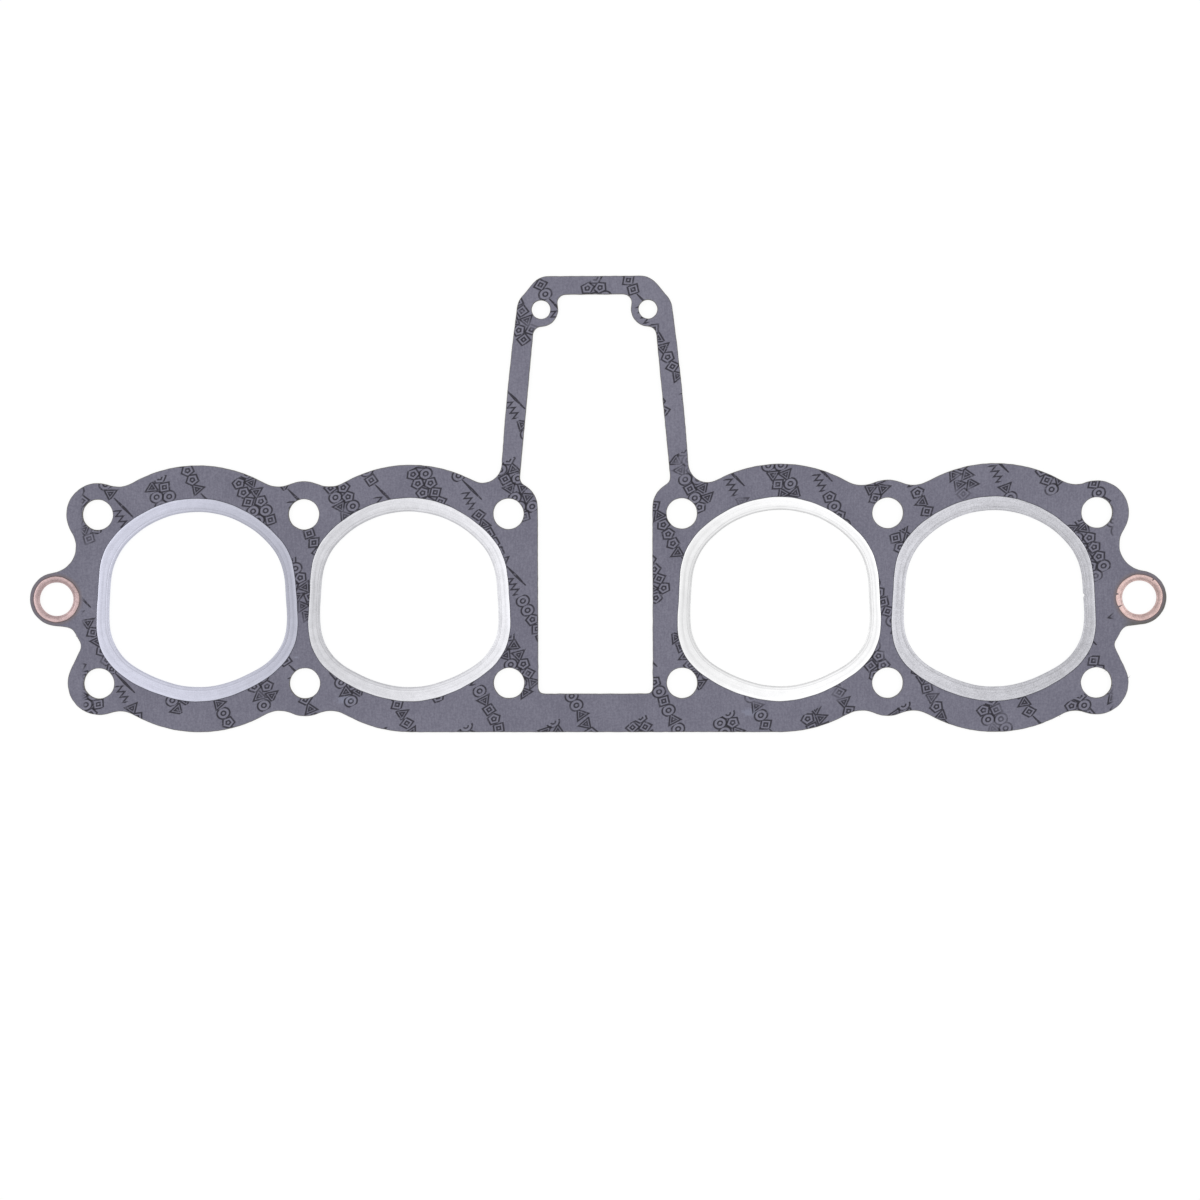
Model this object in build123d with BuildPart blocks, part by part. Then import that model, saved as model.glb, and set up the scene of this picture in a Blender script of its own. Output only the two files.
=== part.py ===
"""Cylinder head gasket of an air-cooled four-cylinder engine with twelve studs.

A die-cut fibre sheet carries a folded metal fire ring round each bore and a
copper eyelet in the oil passage of each end ear. The frame stands at the
middle of the stud pattern and of the thickness: +X runs along the crankshaft,
+Y towards the extension of the cam-chain tunnel, +Z up. Sizes are in
millimetres and angles in degrees.
"""

from build123d import *
import os
from math import acos, degrees, radians, sin, sqrt

# Thicknesses
SHEET_THICKNESS = 1.2
RING_METAL = 0.25          # strip of the fire rings
EYELET_METAL = 0.25        # copper strip of the oil eyelets

# Layout of the bores, the studs round them and the oil passages. The middle
# studs stand halfway between two bores.
INNER_BORE_X = 69.0        # from the middle of the engine
BORE_SPACING = 79.6        # from an inner bore to the outer one
INNER_STUD_INSET = 36.7    # inner studs, inwards from the inner bores
OUTER_STUD_REACH = 37.6    # outer studs, outwards from the outer bores
STUD_Y = 31.6
OIL_REACH = 15.8           # oil passages, outwards from the outer studs

# Holes for the M10 studs and for the M6 screws of the chain tunnel
STUD_HOLE = 11.4
SCREW_HOLE = 7.0

# Outer edge: lobes round the bores, lands round the studs, ears for the oil
LOBE_LAND = 11.4           # fibre left outside a fire ring's flange
MIDDLE_LAND = 12.4         # radius of the land round a middle stud
END_LAND = 11.9            # radius of the land round an end stud
EAR_LAND = 1.4             # fibre left outside an eyelet's flange
VALLEY = 11.0              # hollow between a lobe and a middle stud land
END_VALLEY = 10.0          # hollow between a lobe and an end stud land
POCKET = 9.8               # hollow between an end stud land and an oil ear
NOTCH_ROOF = (3.4, 4.15, 3.7)   # lower pocket: inset from the ear's centre, drop
NOTCH_ROOT = (6.3, 7.55, 2.8)   # below its edge, and radius, of two hollows

# Frame of sheet round the extension of the chain tunnel
TOP_BAR = 6.9              # width of fibre above the tunnel
BOTTOM_BAR = 14.4          # width of fibre below the tunnel
FRAME_SHOULDER = (2.7, 7.5)     # outer corner: inset from the screw, radius
FRAME_CHEEK = (2.6, 0.3, 6.4)   # round beside the screw: offsets, radius
FRAME_BOW = 840.0          # the side walls bow outwards by this radius
NECK = (27.1, 7.1)         # hollow at the frame's foot: inset from the bore, radius

# Opening of the chain tunnel
TUNNEL_WIDTH = 42.7
TUNNEL_TOP = 113.0
SCREW_INSET = 1.45         # a screw, inwards from the side of the tunnel
SCREW_DROP = 5.5           # a screw, below the top of the tunnel
TUNNEL_CORNER = 2.0
SHOULDER_Y = 34.0          # the tunnel widens above this height
SHOULDER_RADIUS = 9.4
TAPER_FOOT = 3.65          # corner at the foot of the taper: how far outside
TAPER_CORNER = 3.0         # the tunnel's own side its centre is, and radius
SCREW_BOSS = 6.4           # fibre round a screw hole, where it meets the tunnel

# Edge of a bore opening and edge of its flange: tangent arcs from the lowest
# point up one side, as (radius, turn), with a straight side between the
# corners. The top arc closes each outline.
BORE_REACH = 32.6          # from a bore's centre to the lowest point of its edge
FLANGE_WIDTH = 6.0         # width of the flange at that point
OPENING = {"reach": BORE_REACH, "bottom": (35.5, 20.4), "flank": (72.1, 9.9),
           "lower": (19.0, 62.8), "side": 14.5, "upper": (21.4, 37.2)}
FLANGE = {"reach": BORE_REACH + FLANGE_WIDTH, "bottom": (33.0, 10.0), "flank": (54.5, 28.6),
          "lower": (20.5, 55.1), "side": 19.9, "upper": (21.9, 37.6)}

# Oil eyelets
EYELET_BORE = 12.6
EYELET_WIDTH = 2.35        # width of an eyelet's flange

# Gap between the fibre's cut end and the bend of metal that holds it
END_GAP = 0.1

# Splits in the upper flange of the right-hand eyelet: (angle, depth in from
# the flange's edge, skew)
SPLITS = ((170.9, 0.75, 8.0), (204.0, 1.45, 25.0), (53.0, 0.85, -15.0))
SPLIT_WIDTH = 0.3

# Nick in the bore edge of the right-hand fire ring
NICK_Y = 0.9
NICK_RADIUS = 0.45

# Points nearer than this are one point, and cosines have this many places
SAME_POINT = 1e-4
COSINE_PLACES = 9

# Places and sizes that follow from those above
BORE_X = (INNER_BORE_X, INNER_BORE_X + BORE_SPACING)
STUD_X = (INNER_BORE_X - INNER_STUD_INSET, INNER_BORE_X + BORE_SPACING / 2, BORE_X[1] + OUTER_STUD_REACH)
EYELET_X = STUD_X[2] + OIL_REACH
EYELET_FLANGE = EYELET_BORE + 2 * EYELET_WIDTH
SCREW_X = TUNNEL_WIDTH / 2 - SCREW_INSET
SCREW_Y = TUNNEL_TOP - SCREW_DROP
LOBE_RADIUS = BORE_REACH + FLANGE_WIDTH + LOBE_LAND
EAR_RADIUS = EYELET_FLANGE / 2 + EAR_LAND


def touching(first, second, radius):
    """A round that touches two others. A round is (x, y, radius), and a
    negative radius makes it a hollow.

    A hollow lies to the left of the way from the first to the second, and a
    swelling to the right of it.
    """
    start, end = Vector(first[0], first[1]), Vector(second[0], second[1])
    near, far = abs(radius - first[2]), abs(radius - second[2])
    way = end - start
    along = (near**2 - far**2 + way.length**2) / (2 * way.length)
    aside = sqrt(near**2 - along**2) * (1 if radius < 0 else -1)
    forward = way.normalized()
    centre = start + forward * along + forward.rotate(Axis.Z, 90) * aside
    return (centre.X, centre.Y, radius)


def belt(half):
    """The area inside a tight belt round a chain of rounds and its mirror image.

    The right-hand half of the chain is given clockwise from the top.
    """
    chain = half + [(-x, y, r) for x, y, r in reversed(half)]
    ways = [Vector(b[0] - a[0], b[1] - a[1]) for a, b in zip(chain, chain[1:] + chain[:1])]
    normals = []
    for way, a, b in zip(ways, chain, chain[1:] + chain[:1]):
        lean = degrees(acos(round((a[2] - b[2]) / way.length, COSINE_PLACES)))
        normals.append(way.normalized().rotate(Axis.Z, lean))
    with BuildSketch() as area:
        with BuildLine():
            for i, (x, y, radius) in enumerate(chain):
                before, after = normals[i - 1], normals[i]
                turn = before.get_signed_angle(after, Vector(0, 0, -1))
                if turn * radius < 0:
                    turn += 360 if radius > 0 else -360
                middle = before.rotate(Axis.Z, -turn / 2)
                centre = Vector(x, y)
                end = centre + after * radius
                ThreePointArc(centre + before * radius, centre + middle * radius, end)
                x, y, radius = chain[(i + 1) % len(chain)]
                following = Vector(x, y) + after * radius
                if (following - end).length > SAME_POINT:
                    Line(end, following)
        make_face()
    return area.sketch


def bore_edge(size, grow=0.0):
    """The area inside a bore outline that is moved outwards by grow."""
    with BuildSketch() as area:
        with BuildLine():
            (bottom_radius, bottom_turn), (flank_radius, flank_turn) = size["bottom"], size["flank"]
            (lower_radius, lower_turn), (upper_radius, upper_turn) = size["lower"], size["upper"]
            top_turn = 180 - bottom_turn - flank_turn - lower_turn - upper_turn
            bottom = JernArc((0, -size["reach"] - grow), (1, 0), bottom_radius + grow, bottom_turn)
            flank = JernArc(bottom @ 1, bottom % 1, flank_radius + grow, flank_turn)
            lower = JernArc(flank @ 1, flank % 1, lower_radius + grow, lower_turn)
            side = Line(lower @ 1, lower @ 1 + (lower % 1) * size["side"])
            upper = JernArc(side @ 1, side % 1, upper_radius + grow, upper_turn)
            JernArc(upper @ 1, upper % 1, (upper @ 1).X / sin(radians(top_turn)), top_turn)
            mirror(about=Plane.YZ)
        make_face()
    return area.sketch


def sheet_edge():
    """The die-cut outer edge of the sheet."""
    inner_lobe, outer_lobe = [(x, 0, LOBE_RADIUS) for x in BORE_X]
    ear = (EYELET_X, 0, EAR_RADIUS)
    inset, radius = FRAME_SHOULDER
    shoulder = (SCREW_X - inset, TUNNEL_TOP + TOP_BAR - radius, radius)
    cheek = (SCREW_X + FRAME_CHEEK[0], SCREW_Y + FRAME_CHEEK[1], FRAME_CHEEK[2])
    inset, radius = NECK
    neck = (BORE_X[0] - inset, sqrt((LOBE_RADIUS + radius) ** 2 - inset**2), -radius)
    wall = touching(cheek, neck, FRAME_BOW)
    middle = (STUD_X[1], STUD_Y, MIDDLE_LAND)
    end = (STUD_X[2], STUD_Y, END_LAND)
    scallops = [inner_lobe, touching(inner_lobe, middle, -VALLEY), middle,
                touching(middle, outer_lobe, -VALLEY), outer_lobe,
                touching(outer_lobe, end, -END_VALLEY), end]
    lower_scallops = [(x, -y, r) for x, y, r in reversed(scallops)]
    notch = [(EYELET_X - inset, -EAR_RADIUS - drop, -radius)
             for inset, drop, radius in (NOTCH_ROOF, NOTCH_ROOT)]
    return belt([shoulder, cheek, wall, neck, *scallops, touching(end, ear, -POCKET), ear,
                 *notch, *lower_scallops])


def tunnel_edge():
    """The opening for the cam chain, wider above the bores and tapered."""
    top_y = TUNNEL_TOP - TAPER_CORNER
    reach = SCREW_BOSS + TAPER_CORNER
    top = (SCREW_X - sqrt(reach**2 - (SCREW_Y - top_y) ** 2), top_y, TAPER_CORNER)
    boss = (SCREW_X, SCREW_Y, -SCREW_BOSS)
    taper_head = (SCREW_X, SCREW_Y - reach, TAPER_CORNER)
    shoulder = (TUNNEL_WIDTH / 2 + SHOULDER_RADIUS, SHOULDER_Y, -SHOULDER_RADIUS)
    foot_x = TUNNEL_WIDTH / 2 + TAPER_FOOT
    rise = sqrt((SHOULDER_RADIUS + TAPER_CORNER) ** 2 - (shoulder[0] - foot_x) ** 2)
    taper_foot = (foot_x, SHOULDER_Y + rise, TAPER_CORNER)
    corner_y = BOTTOM_BAR - LOBE_RADIUS + TUNNEL_CORNER
    corner = (TUNNEL_WIDTH / 2 - TUNNEL_CORNER, corner_y, TUNNEL_CORNER)
    return belt([top, boss, taper_head, taper_foot, shoulder, corner])


def both_sides(distances):
    """The distances with their mirror images, from left to right."""
    return [-d for d in reversed(distances)] + list(distances)


with BuildPart() as gasket_sheet:
    with BuildSketch(Plane.XY.offset(-SHEET_THICKNESS / 2)):
        add(sheet_edge())
        add(tunnel_edge(), mode=Mode.SUBTRACT)
        with Locations(*[(x, 0) for x in both_sides(BORE_X)]):
            add(bore_edge(OPENING, RING_METAL + END_GAP), mode=Mode.SUBTRACT)
        with Locations(*[(x, y) for x in both_sides(STUD_X) for y in (-STUD_Y, STUD_Y)]):
            Circle(STUD_HOLE / 2, mode=Mode.SUBTRACT)
        with Locations((-SCREW_X, SCREW_Y), (SCREW_X, SCREW_Y)):
            Circle(SCREW_HOLE / 2, mode=Mode.SUBTRACT)
        with Locations((-EYELET_X, 0), (EYELET_X, 0)):
            Circle(EYELET_BORE / 2 + EYELET_METAL + END_GAP, mode=Mode.SUBTRACT)
    extrude(amount=SHEET_THICKNESS)


def round_edge(diameter, grow=0.0):
    """The area inside a circle that is moved outwards by grow."""
    with BuildSketch() as area:
        Circle(diameter / 2 + grow)
    return area.sketch


def channel(x, edge, hole, flange, metal):
    """A strip turned over both faces of the sheet, from a hole's edge to its flange's.

    The function edge gives the area inside the hole's or the flange's size, moved
    outwards by a distance.
    """
    half = SHEET_THICKNESS / 2
    with BuildPart() as strip:
        with BuildSketch(Plane((x, 0, -half - metal))):
            add(edge(flange))
            add(edge(hole), mode=Mode.SUBTRACT)
        extrude(amount=2 * (half + metal))
        # Space for the fibre, open towards the sheet
        with BuildSketch(Plane((x, 0, -half))):
            add(edge(flange, metal))
            add(edge(hole, metal), mode=Mode.SUBTRACT)
        extrude(amount=2 * half, mode=Mode.SUBTRACT)
    return strip.part


pieces = {"gasket_sheet": gasket_sheet.part}
for number, x in enumerate(both_sides(BORE_X), start=1):
    pieces[f"fire_ring_{number}"] = channel(x, bore_edge, OPENING, FLANGE, RING_METAL)
pieces["oil_eyelet_left"] = channel(-EYELET_X, round_edge, EYELET_BORE, EYELET_FLANGE, EYELET_METAL)

# The right-hand ring has a nick in its edge
nick_x = BORE_X[1] + bore_edge(OPENING).bounding_box().max.X
with BuildPart() as nicked_ring:
    add(pieces["fire_ring_4"])
    with BuildSketch(Plane((nick_x, NICK_Y, 0))):
        Circle(NICK_RADIUS)
    extrude(amount=SHEET_THICKNESS, both=True, mode=Mode.SUBTRACT)
pieces["fire_ring_4"] = nicked_ring.part

# The right-hand eyelet's upper flange has split in three places
with BuildPart() as split_eyelet:
    add(channel(EYELET_X, round_edge, EYELET_BORE, EYELET_FLANGE, EYELET_METAL))
    for angle, depth, skew in SPLITS:
        with BuildSketch(Plane((EYELET_X, 0, 0)).rotated((0, 0, angle)).offset(SHEET_THICKNESS / 2)):
            with Locations(Location((EYELET_FLANGE / 2 - depth, 0), skew)):
                Rectangle(EYELET_WIDTH, SPLIT_WIDTH, align=(Align.MIN, Align.CENTER))
        extrude(amount=2 * EYELET_METAL, mode=Mode.SUBTRACT)
pieces["oil_eyelet_right"] = split_eyelet.part

os.makedirs("parts", exist_ok=True)
for name, piece in pieces.items():
    piece.label = name
    export_step(piece, f"parts/{name}.step")
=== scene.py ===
"""Cylinder head gasket: the finish of its fibre sheet, fire rings and oil eyelets.

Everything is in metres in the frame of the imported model. Sizes of the real
thing are written in millimetres and turned into metres by MM.
"""

import math

import bmesh
import bpy
import numpy as np
from mathutils import Euler, Matrix, Vector


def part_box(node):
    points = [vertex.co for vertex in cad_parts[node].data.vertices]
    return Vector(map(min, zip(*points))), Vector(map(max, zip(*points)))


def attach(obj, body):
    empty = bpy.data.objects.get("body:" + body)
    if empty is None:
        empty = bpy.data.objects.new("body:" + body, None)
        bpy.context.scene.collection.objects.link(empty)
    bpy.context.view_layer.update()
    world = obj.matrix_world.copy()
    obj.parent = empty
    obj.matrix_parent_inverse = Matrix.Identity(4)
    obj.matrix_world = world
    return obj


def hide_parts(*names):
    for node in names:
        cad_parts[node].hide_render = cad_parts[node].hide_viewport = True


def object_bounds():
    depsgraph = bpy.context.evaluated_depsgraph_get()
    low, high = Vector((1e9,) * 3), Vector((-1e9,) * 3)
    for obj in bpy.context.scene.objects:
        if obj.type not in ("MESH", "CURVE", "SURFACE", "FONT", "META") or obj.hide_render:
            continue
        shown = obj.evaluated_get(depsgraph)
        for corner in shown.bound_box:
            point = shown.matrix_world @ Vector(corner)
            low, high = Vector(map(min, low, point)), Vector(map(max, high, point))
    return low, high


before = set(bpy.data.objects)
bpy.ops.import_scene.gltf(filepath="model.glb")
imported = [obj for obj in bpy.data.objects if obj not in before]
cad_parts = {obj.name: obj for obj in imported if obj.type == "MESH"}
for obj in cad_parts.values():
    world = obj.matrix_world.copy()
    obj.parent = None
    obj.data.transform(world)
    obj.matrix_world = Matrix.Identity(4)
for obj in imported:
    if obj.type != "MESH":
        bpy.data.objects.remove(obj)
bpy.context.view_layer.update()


# ---------------------------------------------------------------- fibre sheet
# One die-cut sheet of compressed fibre, blue grey, calendered along Y. Its cut
# edges are browner, a little rounded and hairy in places, and slanting rows of
# outlined figures are printed on the upper face.

MM = 0.001


def middle_x(node):
    """Where the middle of a node lies along X, in mm."""
    low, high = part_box(node)
    return (low.x + high.x) / 2 / MM


SHEET_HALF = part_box("gasket_sheet")[1].z / MM      # half the sheet's thickness
EAR_CENTRE = middle_x("oil_eyelet_right")          # the other ear is as far to the left
EDGE_ROUND = 0.25
EDGE_STEP = 0.5            # between the points of the outlines
EDGE_PASSES = 3            # of rounding off at the outlines' facets
EDGE_ROUGH = 0.05          # spread of the points' random shifts, before the rounding off
EDGE_SEED = 8
BORE_SIZE = (60, 75)       # by which the bores' outlines are known
BORE_GROWTH = 1.032        # the fibre stands back this much from the folded strips
SAME_POINT = 0.001         # corners nearer to each other than this are one
LOOKS_UP = 0.9             # least Z of a normal that looks up
FLAT = 0.9999              # and least Z, up or down, of one on a flat face

FIBRE_COLOUR = (0.146, 0.142, 0.189, 1)
FIBRE_PALE = (0.245, 0.24, 0.3, 1)
MEAN_TONE = 0.22           # share of the pale colour where nothing changes it
FIBRE_ROUGHNESS = 0.62
FIBRE_SPECULAR = 0.25

# Speckles are (spots to the millimetre, detail, roughness), and fades are
# (lowest value, highest value, what the lowest gives, what the highest gives)
GRAIN = (2.2, 3.0, 0.6)
GRAIN_STRETCH = (1, 0.13, 1)
GRAIN_TONE = (0.3, 0.7, -0.12, 0.12)
GRAIN_DEPTH = 0.02
GRAIN_RELIEF = 0.6                    # how strongly that depth shows
FLECKS = (1.3, 3.0, 0.7)
FLECK_TONE = (0.3, 0.72, -0.24, 0.28)
CLOUDS = (0.05, 2.0, 0.5)
CLOUD_TONE = (0.3, 0.7, -0.08, 0.1)
TUNNEL_PAINTED_LIGHT = (30, 90, 0, 0.14)       # painted light that makes the fibre paler up the tunnel's frame, as a fade of Y

SCUFF_COLOUR = (0.3, 0.32, 0.42, 1)
SCUFF_STRENGTH = 0.35
SCUFFS = ((-93.4, -37.9, 5.0, 2.0), (57.7, -42.4, 4.0, 2.0),    # X, Y, length and width of each
          (-112.0, -21.9, 0.9, 0.5))
PATCH_SPECKLE = (0.9, 4.0, 0.7)
PATCH_RAG = 1.6                       # how much the speckle moves a patch's edge, in its own widths
PATCH_FADE = (0.35, 1.0, 1, 0)

# Painted reflection of the copper: a pinkish cast on the fibre round the eyelets
PAINTED_COPPER_REFLECTION = (0.185, 0.145, 0.145, 1)
REFLECTION_FADE = (8.9, 10.2, 0.7, 0)        # of the distance from an eyelet's middle
REFLECTION_FLECKS = (0.3, 0.6, 0.5, 1)
DARKER_WAY = (0.7, -0.7)                # to this side of the right-hand eyelet
DARKER_BEGINS = (1.0, 6.0, 0, 1)        # of the distance that way
DARKER_INSIDE = (8.7, 9.6, 0, 1)        # of the distance from the eyelet's middle
DARKER_OUTSIDE = (11, 13, 0.8, 0)
DARKER_FLECKS = (0.3, 0.55, 0.55, 1)

CUT_COLOUR = (0.105, 0.1, 0.082, 1)
TORN_COLOUR = (0.185, 0.175, 0.15, 1)
CUT_STRENGTH = 0.9
CUT_FADE = (0.9, 0.999, 1, 0)         # of the normal's Z, up or down
LAYERS = (1.6, 4.0, 0.75)
LAYER_STRETCH = (1, 1, 5)
LAYER_FADE = (0.35, 0.65, 0, 1)

INK_COLOUR = (0.016, 0.014, 0.022, 1)
INK_STRENGTH = 0.92
INK_ROUGHNESS = 0.5
WORN_SPOTS = (0.8, 4.0, 0.7)
WORN_SPOT_FADE = (0.3, 0.48, 0.35, 1)
WORN_STRETCHES = (0.07, 2.0, 0.5)
WORN_STRETCH_FADE = (0.3, 0.42, 0.45, 1)
PRINT_ENDS = (-11, -9, 1, 0)          # of the distance past an ear's middle
PRINT_SLANT = -63          # degrees from +X to the way the rows run
LANE_PITCH = 14.9          # from one row to the next
LANE_SHIFT = 11.3          # how far each row starts beyond the last
RUN_PITCH = 36.0           # from one run of figures to the next in a row
RUN_FIGURES = 6
SECOND_ROW = 4.3           # a second row beside every other one
FIGURE_PITCH = 3.9
FIGURE_SQUASH = 1.18       # along the row
FIGURE_RADIUS = 2.45
FIGURE_HOLE = 0.36         # its share of the figure
FIGURE_LINE = 0.66         # width of the printed line
LINE_EDGE = (0.3, 0.75)    # the ink fades out between these shares of that width
FIGURE_FILL = 0.3          # how pale the print is between the lines
PALE_STRENGTH = 0.9
FIGURE_KINDS = 3.99        # a pick from 0 to 1, times this, gives how many more sides than three
ROUND_FROM = 0.75          # and above this so many more that the figure is a ring
ROUND_SIDES = 30
FIGURE_TURN = 40           # radians that a figure turns by as its pick goes from 0 to 1
CORNER_SHARE = 0.9         # below 1, figures with few sides come out larger

# The strokes after a run: their middle and their reach along the row, their line's lean and
# how far aside it starts, and its width
SLASH = {"middle": 5.0, "reach": 4.9, "lean": 0.32, "aside": -1.7, "thin": 0.25, "swelling": 0.07}
SCRIBBLE = {"middle": 8.0, "reach": 3.6, "zigzag": 1.1, "lean": 2.4, "aside": -4.2, "line": (0.5, 0.95)}

# Hairs of fibre at the cut edge: X, Y, direction in degrees and length, and then what they all have
FIBRES = ((198.0, -29.9, 15, 1.3), (172.3, -43.9, -70, 1.0), (189.7, -27.1, 200, 0.9),
          (-194.6, -14.0, 20, 0.7), (-120.0, 41.0, 60, 0.6), (24.6, -35.2, 150, 0.6))
HAIR_RADII = (0.11, 0.09, 0.06, 0.015)    # from its root to its tip
HAIR_ROOT = 0.2            # how deep it starts in the sheet
HAIR_HEIGHT = 0.25
HAIR_BEND = 14             # degrees from one stretch to the next
HAIR_RISE = 0.04


def feed(tree, socket, value):
    """Links a socket to another one, or sets it to a plain value."""
    if isinstance(value, bpy.types.NodeSocket):
        tree.links.new(value, socket)
    else:
        socket.default_value = value


def calc(tree, operation, *values, clamp=False):
    """One Math node on up to three values."""
    node = tree.nodes.new("ShaderNodeMath")
    node.operation = operation
    node.use_clamp = clamp
    for socket, value in zip(node.inputs, values):
        feed(tree, socket, value)
    return node.outputs[0]


def distance(tree, aside, above):
    """How far apart two places are that lie this much beside and above each other."""
    squares = [calc(tree, "POWER", way, 2) for way in (aside, above)]
    return calc(tree, "SQRT", calc(tree, "ADD", *squares))


def fade(tree, value, low, high, start, end):
    """The value's way from low to high, as a smooth step from start to end."""
    node = tree.nodes.new("ShaderNodeMapRange")
    node.interpolation_type = "SMOOTHSTEP"
    for name, number in zip(("Value", "From Min", "From Max", "To Min", "To Max"),
                            (value, low, high, start, end)):
        feed(tree, node.inputs[name], number)
    return node.outputs["Result"]


def blend_colours(tree, factor, first, second):
    """First colour where the factor is 0, second where it is 1."""
    node = tree.nodes.new("ShaderNodeMix")
    node.data_type = "RGBA"
    for index, value in ((0, factor), (6, first), (7, second)):
        feed(tree, node.inputs[index], value)
    return node.outputs[2]


def place_in_mm(tree, stretch=(1, 1, 1)):
    """Places on the object in millimetres, stretched for a texture."""
    coordinates = tree.nodes.new("ShaderNodeTexCoord")
    scale = tree.nodes.new("ShaderNodeMapping")
    scale.inputs["Scale"].default_value = [s / MM for s in stretch]
    tree.links.new(coordinates.outputs["Object"], scale.inputs["Vector"])
    return scale.outputs["Vector"]


def split_place(tree, place):
    """The X, Y and Z of a place."""
    node = tree.nodes.new("ShaderNodeSeparateXYZ")
    tree.links.new(place, node.inputs[0])
    return node.outputs


def speckle(tree, place, spots, detail, roughness):
    """A cloudy value from 0 to 1 at a place, with so many spots to the millimetre."""
    noise = tree.nodes.new("ShaderNodeTexNoise")
    tree.links.new(place, noise.inputs["Vector"])
    for name, value in (("Scale", spots), ("Detail", detail), ("Roughness", roughness)):
        noise.inputs[name].default_value = value
    return noise.outputs["Fac"]


def raise_surface(tree, shader, height, distance, strength):
    """Gives a shader a relief, whose distance is in mm."""
    bump = tree.nodes.new("ShaderNodeBump")
    bump.inputs["Distance"].default_value = distance * MM
    bump.inputs["Strength"].default_value = strength
    feed(tree, bump.inputs["Height"], height)
    tree.links.new(bump.outputs[0], shader.inputs["Normal"])


def new_group(name, inputs, *outputs):
    """A shader node group of floats; the inputs carry their defaults."""
    group = bpy.data.node_groups.new(name, "ShaderNodeTree")
    for label, default in inputs.items():
        socket = group.interface.new_socket(label, in_out="INPUT", socket_type="NodeSocketFloat")
        socket.default_value = default
    for label in outputs:
        group.interface.new_socket(label, in_out="OUTPUT", socket_type="NodeSocketFloat")
    given = group.nodes.new("NodeGroupInput").outputs
    results = group.nodes.new("NodeGroupOutput").inputs
    return group, given, results


def use_group(tree, group, **values):
    """Places a group in a tree with these inputs, and gives its outputs."""
    node = tree.nodes.new("ShaderNodeGroup")
    node.node_tree = group
    for name, value in values.items():
        feed(tree, node.inputs[name.capitalize()], value)
    return node.outputs


def figure_group():
    """Ink of one printed figure: a triangle, square, pentagon or ring with a hole.

    It is 1 on the lines and a little below 0 between them, where the print is pale.
    """
    tree, given, results = new_group(
        "printed_figure", {"Along": 0, "Across": 0, "Pick": 0, "Radius": 1, "Line": 0.4}, "Ink")
    kind = calc(tree, "FLOOR", calc(tree, "MULTIPLY", given["Pick"], FIGURE_KINDS))
    is_ring = calc(tree, "GREATER_THAN", given["Pick"], ROUND_FROM)
    sides = calc(tree, "MULTIPLY_ADD", is_ring, ROUND_SIDES, calc(tree, "ADD", 3, kind))
    half_sector = calc(tree, "DIVIDE", math.pi, sides)
    angle = calc(tree, "ARCTAN2", given["Across"], given["Along"])
    angle = calc(tree, "MULTIPLY_ADD", given["Pick"], FIGURE_TURN, angle)
    folded = calc(tree, "WRAP", angle, half_sector, calc(tree, "MULTIPLY", half_sector, -1))
    far = distance(tree, given["Along"], given["Across"])
    reach = calc(tree, "MULTIPLY", far, calc(tree, "COSINE", folded))
    corner = calc(tree, "COSINE", calc(tree, "MULTIPLY", half_sector, CORNER_SHARE))
    side = calc(tree, "MULTIPLY", given["Radius"], corner)
    hole = calc(tree, "MULTIPLY", side, FIGURE_HOLE)
    outer = calc(tree, "ABSOLUTE", calc(tree, "SUBTRACT", reach, side))
    inner = calc(tree, "ABSOLUTE", calc(tree, "SUBTRACT", reach, hole))
    black, bare = [calc(tree, "MULTIPLY", given["Line"], share) for share in LINE_EDGE]
    ink = fade(tree, calc(tree, "MINIMUM", outer, inner), black, bare, 1, 0)
    fill = calc(tree, "MULTIPLY", calc(tree, "LESS_THAN", reach, side), -FIGURE_FILL)
    feed(tree, results["Ink"], calc(tree, "MULTIPLY_ADD", calc(tree, "SUBTRACT", 1, ink), fill, ink))
    return tree


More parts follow.
